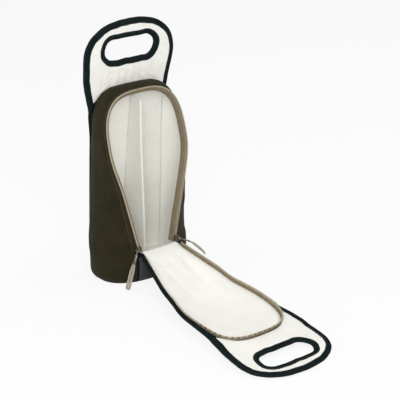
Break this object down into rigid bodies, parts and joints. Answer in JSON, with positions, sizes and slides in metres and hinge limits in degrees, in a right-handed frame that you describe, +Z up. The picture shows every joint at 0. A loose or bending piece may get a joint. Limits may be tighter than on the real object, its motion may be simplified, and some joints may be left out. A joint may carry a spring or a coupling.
{
  "type": "insulated bottle bag",
  "caption": "Soft insulated bag for standing bottles: oval base, padded wall, inner divider, zipped front flap that folds down, and bound carrying grips with hand holes.",
  "frame": {"origin": "middle of the oval base, on its underside", "axes": "+X to the bag's right seen from the front, +Y to the back panel, +Z up the bag"},
  "size_m": [0.1925, 0.4989, 0.4415],
  "materials": {
    "olive_cloth": "matte woven polyester, olive brown",
    "charcoal_cloth": "matte woven polyester, neutral charcoal",
    "white_lining": "smooth wipe-clean white lining, satin",
    "foam": "closed-cell insulating foam",
    "stiff_board": "stiff base board",
    "black_binding": "folded binding tape, blue black",
    "tan_tape": "woven zip tape, tan",
    "tan_teeth": "coil zip teeth, tan",
    "slider_metal": "cast zip slider and tab, worn"
  },
  "bodies": {
    "bag_body": {"base_outer": "olive_cloth", "base_board": "stiff_board", "base_foam": "foam", "base_lining": "white_lining", "wall_outer": "olive_cloth", "wall_foam": "foam", "wall_lining": "white_lining", "front_strip_outer": "charcoal_cloth", "front_strip_foam": "foam", "front_strip_lining": "white_lining", "hinge_tape": "charcoal_cloth", "back_panel_outer": "olive_cloth", "back_panel_foam": "foam", "back_panel_lining": "white_lining", "back_grip_outer": "olive_cloth", "back_grip_core": "foam", "back_grip_facing": "white_lining", "back_grip_binding": "black_binding", "back_hole_binding": "black_binding", "right_seam_binding": "black_binding", "left_seam_binding": "black_binding", "divider": "white_lining", "body_zip_tape": "tan_tape", "body_zip_teeth": "tan_teeth"},
    "flap": {"flap_outer": "charcoal_cloth", "flap_foam": "foam", "flap_lining": "white_lining", "flap_grip_outer": "charcoal_cloth", "flap_grip_core": "foam", "flap_grip_facing": "white_lining", "flap_grip_binding": "black_binding", "flap_hole_binding": "black_binding", "flap_right_binding": "black_binding", "flap_left_binding": "black_binding", "flap_zip_tape": "tan_tape", "flap_zip_teeth": "tan_teeth"},
    "right_zip_slider": {"right_slider": "slider_metal"},
    "right_zip_pull": {"right_pull_tab": "slider_metal", "right_pull_tape": "tan_tape"},
    "left_zip_slider": {"left_slider": "slider_metal"},
    "left_zip_pull": {"left_pull_tab": "slider_metal", "left_pull_tape": "tan_tape"}
  },
  "joints": [
    {"name": "flap_fold", "type": "hinge", "parent": "bag_body", "child": "flap", "pos_m": [0, -0.0605, 0.0615], "axis": [-1, 0, 0], "range_deg": [0, 109.5]},
    {"name": "right_zip_run", "type": "slide", "parent": "bag_body", "child": "right_zip_slider", "axis": [0.2319, 0.0838, 0.9691], "range_m": [0, 0.08]},
    {"name": "right_pull_swing", "type": "hinge", "parent": "right_zip_slider", "child": "right_zip_pull", "pos_m": [0.04392, -0.05682, 0.06492], "axis": [-0.0259, -0.9954, 0.0922], "range_deg": [-55, 60]},
    {"name": "left_zip_run", "type": "slide", "parent": "bag_body", "child": "left_zip_slider", "axis": [-0.2319, 0.0838, 0.9691], "range_m": [0, 0.08]},
    {"name": "left_pull_swing", "type": "hinge", "parent": "left_zip_slider", "child": "left_zip_pull", "pos_m": [-0.04392, -0.05682, 0.06492], "axis": [-0.0259, 0.9954, -0.0922], "range_deg": [-20, 95]}
  ]
}
